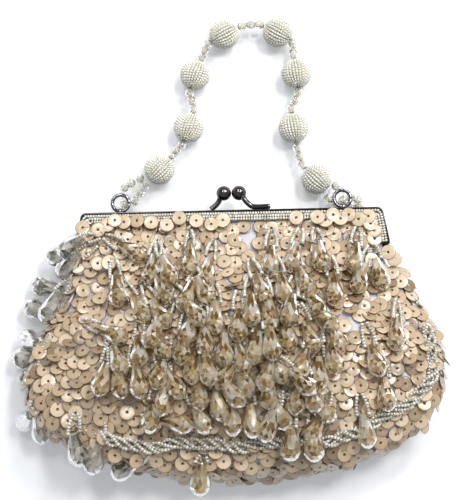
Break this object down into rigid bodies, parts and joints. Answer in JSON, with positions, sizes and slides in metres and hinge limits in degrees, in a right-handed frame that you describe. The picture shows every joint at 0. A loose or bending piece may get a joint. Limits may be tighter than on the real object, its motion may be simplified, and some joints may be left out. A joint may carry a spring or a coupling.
{
  "type": "frame evening bag",
  "caption": "Evening bag lying on its back: kiss-lock metal frame, sequin cloth pouch with clear drop fringe, and a pearl-bead handle on two rings.",
  "frame": {"origin": "middle of the flat of the back panel, on which the bag lies", "axes": "+X across the bag to the right, +Y up the bag towards the handle, +Z out of the front"},
  "size_m": [0.213, 0.2405, 0.0506],
  "materials": {
    "gunmetal": "polished dark plating",
    "polished_nickel": "polished plating",
    "sequin_cloth": "nude satin sequins sewn on cloth",
    "satin_lining": "satin weave",
    "pearl_seed_beads": "pearly seed beads over a light core",
    "silver_seed_beads": "silver-lined glass",
    "clear_crystal": "clear, faceted",
    "nylon_thread": "clear nylon line"
  },
  "bodies": {
    "bag_body": {"frame_back_half": "gunmetal", "hinge_rivet_left": "polished_nickel", "hinge_rivet_right": "polished_nickel", "ring_lug_left": "polished_nickel", "ring_lug_right": "polished_nickel", "lock_arm_back": "gunmetal", "lock_ball_back": "gunmetal", "front_panel": "sequin_cloth", "gusset": "sequin_cloth", "back_panel": "sequin_cloth", "lining_body": "satin_lining", "slip_pocket": "satin_lining", "bead_band_back": "silver_seed_beads", "seam_braid": "silver_seed_beads", "fringe_drop_left_1": "clear_crystal", "fringe_drop_left_2": "clear_crystal", "fringe_drop_left_3": "clear_crystal", "fringe_drop_left_4": "clear_crystal", "fringe_drop_left_5": "clear_crystal", "fringe_drop_bottom": "clear_crystal", "fringe_drop_front_left": "clear_crystal", "fringe_drop_front_middle": "clear_crystal", "fringe_drop_front_right": "clear_crystal", "fringe_loop_left_1": "silver_seed_beads", "fringe_loop_left_2": "silver_seed_beads", "fringe_loop_left_3": "silver_seed_beads", "fringe_loop_left_4": "silver_seed_beads", "fringe_loop_left_5": "silver_seed_beads", "fringe_loop_bottom": "silver_seed_beads", "fringe_loop_front_left": "silver_seed_beads", "fringe_loop_front_middle": "silver_seed_beads", "fringe_loop_front_right": "silver_seed_beads"},
    "front_half": {"frame_front_half": "gunmetal", "lock_arm_front": "gunmetal", "lock_ball_front": "gunmetal", "front_flap": "sequin_cloth", "lining_front_flap": "satin_lining", "bead_band_front": "silver_seed_beads"},
    "ring_left": {"handle_ring_left": "polished_nickel"},
    "ring_right": {"handle_ring_right": "polished_nickel"},
    "handle": {"pearl_ball_left_1": "pearl_seed_beads", "pearl_ball_left_2": "pearl_seed_beads", "pearl_ball_left_3": "pearl_seed_beads", "pearl_ball_left_4": "pearl_seed_beads", "pearl_ball_right_1": "pearl_seed_beads", "pearl_ball_right_2": "pearl_seed_beads", "pearl_ball_right_3": "pearl_seed_beads", "pearl_ball_right_4": "pearl_seed_beads", "crystal_spacers_1": "clear_crystal", "crystal_spacers_2": "clear_crystal", "crystal_spacers_3": "clear_crystal", "crystal_spacers_4": "clear_crystal", "crystal_spacers_5": "clear_crystal", "crystal_spacers_6": "clear_crystal", "crystal_spacers_7": "clear_crystal", "crystal_loop_left": "clear_crystal", "crystal_loop_right": "clear_crystal", "handle_thread": "nylon_thread"}
  },
  "joints": [
    {"name": "frame_hinge", "type": "hinge", "parent": "bag_body", "child": "front_half", "pos_m": [0, 0.048, 0.016], "axis": [1, 0, 0], "range_deg": [0, 60]},
    {"name": "ring_left_swing", "type": "hinge", "parent": "bag_body", "child": "ring_left", "pos_m": [-0.0565, 0.0719, 0.013], "axis": [1, 0, 0], "range_deg": [-35, 80]},
    {"name": "ring_right_swing", "type": "hinge", "parent": "bag_body", "child": "ring_right", "pos_m": [0.0565, 0.0719, 0.013], "axis": [1, 0, 0], "range_deg": [-35, 80]},
    {"name": "handle_swing", "type": "hinge", "parent": "ring_left", "child": "handle", "pos_m": [-0.0565, 0.0805, 0.013], "axis": [1, 0, 0], "range_deg": [-10, 50]}
  ],
  "couplings": [
    {"joint": "ring_right_swing", "follows": "ring_left_swing", "ratio": 1}
  ]
}
